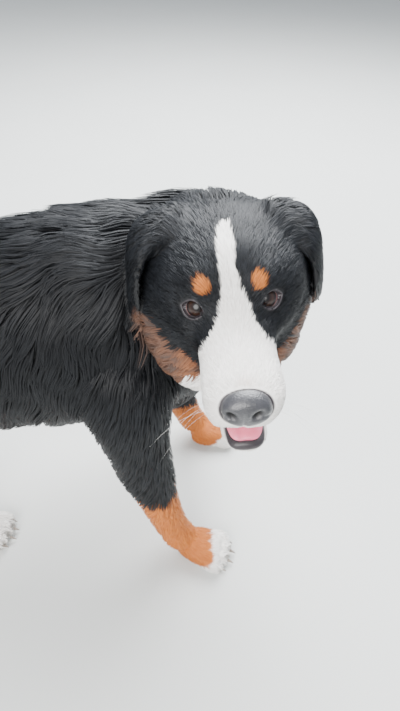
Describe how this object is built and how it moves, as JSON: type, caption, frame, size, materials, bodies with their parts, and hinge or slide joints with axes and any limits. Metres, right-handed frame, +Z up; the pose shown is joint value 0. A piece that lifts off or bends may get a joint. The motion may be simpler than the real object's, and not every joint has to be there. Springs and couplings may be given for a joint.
{
  "type": "bernese mountain dog",
  "caption": "Life-size still model of a standing Bernese mountain dog with its head turned to its right and its mouth a little open.",
  "frame": {"origin": "middle of the standing dog's bounding box, at floor level under the paws", "axes": "+X toward the dog's chest, along its body; +Y toward its left side; +Z up from the floor"},
  "size_m": [0.9126, 0.4332, 0.659],
  "materials": {
    "black_coat": "long wavy black hair with a soft grey-blue sheen",
    "tan_coat": "rich rust-tan hair, white on the toes",
    "white_coat": "short white hair",
    "nose_leather": "moist pebbled black skin",
    "tongue": "moist pink flesh",
    "eye": "wet dark brown eye"
  },
  "bodies": {
    "root": {"head": "black_coat", "neck": "black_coat", "torso": "black_coat", "tail": "black_coat", "ear_left": "black_coat", "ear_right": "black_coat", "foreleg_left": "black_coat", "foreleg_right": "black_coat", "hindleg_left": "black_coat", "hindleg_right": "black_coat", "forepaw_left": "tan_coat", "forepaw_right": "tan_coat", "hindpaw_left": "tan_coat", "hindpaw_right": "tan_coat", "lower_jaw": "white_coat", "nose": "nose_leather", "tongue": "tongue", "eye_left": "eye", "eye_right": "eye"}
  },
  "joints": []
}
